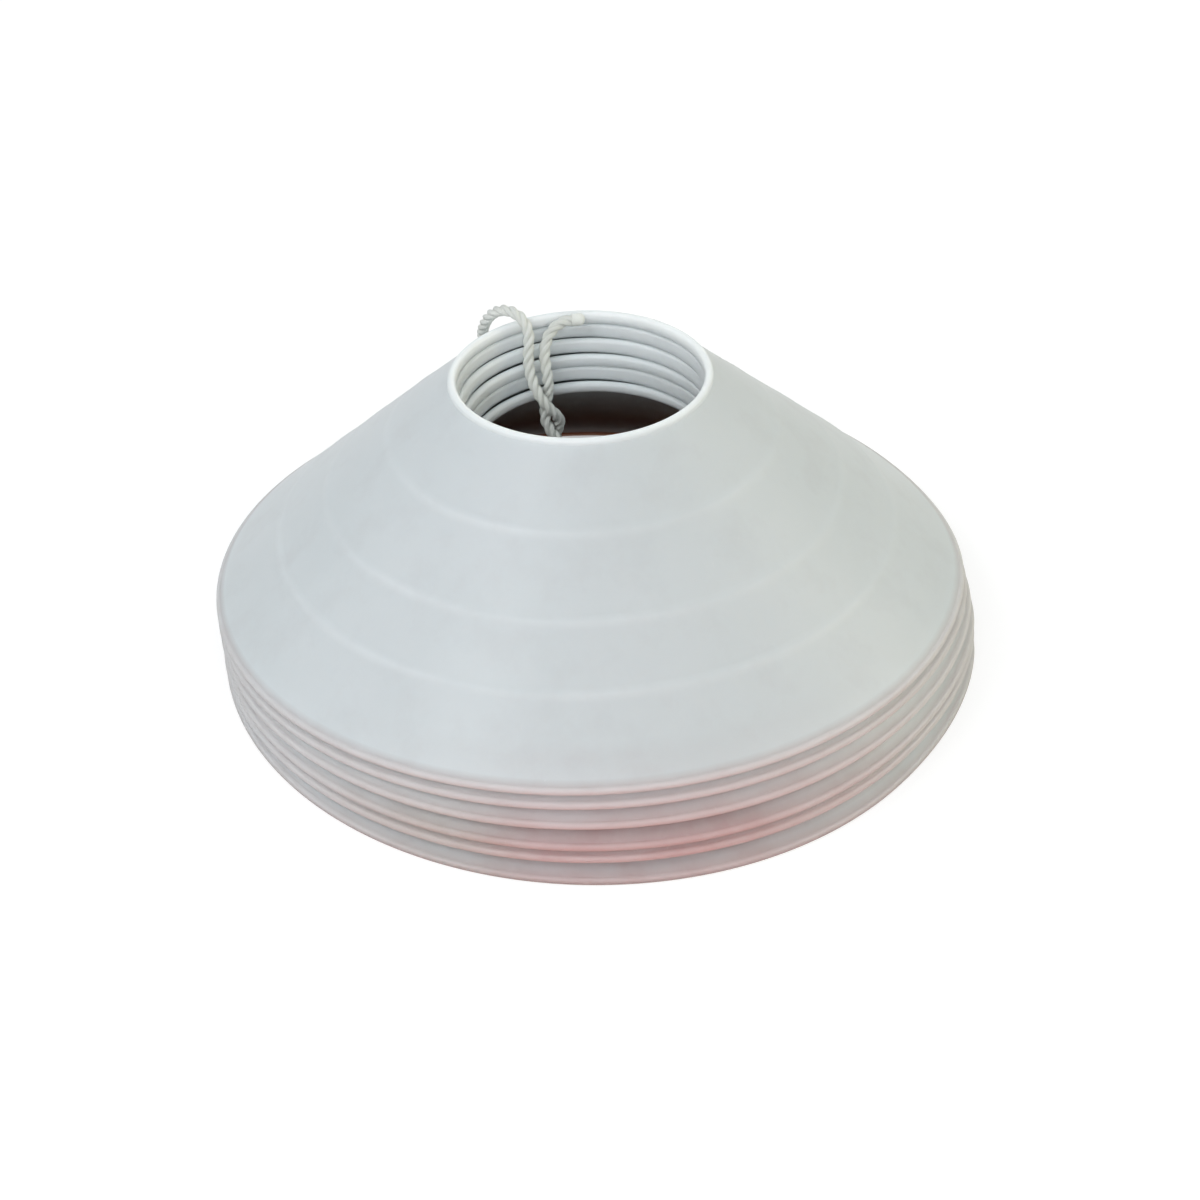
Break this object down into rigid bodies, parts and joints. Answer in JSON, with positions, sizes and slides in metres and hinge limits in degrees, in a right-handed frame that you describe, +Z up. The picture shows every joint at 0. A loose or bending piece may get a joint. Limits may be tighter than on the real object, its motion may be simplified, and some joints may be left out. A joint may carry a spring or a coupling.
{
  "type": "marker cone stack",
  "caption": "Loose nest of thin, low training marker cones with round top holes and a knotted carry cord passed through them.",
  "frame": {"origin": "floor under the centre of the nest, on the lowest cone's axis", "axes": "+Z up along the lowest cone's axis, -Y towards the viewer of the picture, +X to the viewer's right"},
  "size_m": [0.1916, 0.1928, 0.0799],
  "materials": {
    "cone": "satin, slightly translucent",
    "cord": "twisted"
  },
  "bodies": {
    "cone_1": {"cone_1": "cone"},
    "cone_2": {"cone_2": "cone"},
    "cone_3": {"cone_3": "cone"},
    "cone_4": {"cone_4": "cone"},
    "cone_5": {"cone_5": "cone"},
    "cone_6": {"cone_6": "cone", "cord": "cord", "cord_knot": "cord"}
  },
  "joints": [
    {"name": "lift_2", "type": "slide", "parent": "cone_1", "child": "cone_2", "axis": [0, 0, 1], "range_m": [0, 0.065]},
    {"name": "lift_3", "type": "slide", "parent": "cone_2", "child": "cone_3", "axis": [0, 0, 1], "range_m": [0, 0.065]},
    {"name": "lift_4", "type": "slide", "parent": "cone_3", "child": "cone_4", "axis": [0, 0, 1], "range_m": [0, 0.065]},
    {"name": "lift_5", "type": "slide", "parent": "cone_4", "child": "cone_5", "axis": [0, 0, 1], "range_m": [0, 0.065]},
    {"name": "lift_6", "type": "slide", "parent": "cone_5", "child": "cone_6", "axis": [0, 0, 1], "range_m": [0, 0.065]}
  ]
}
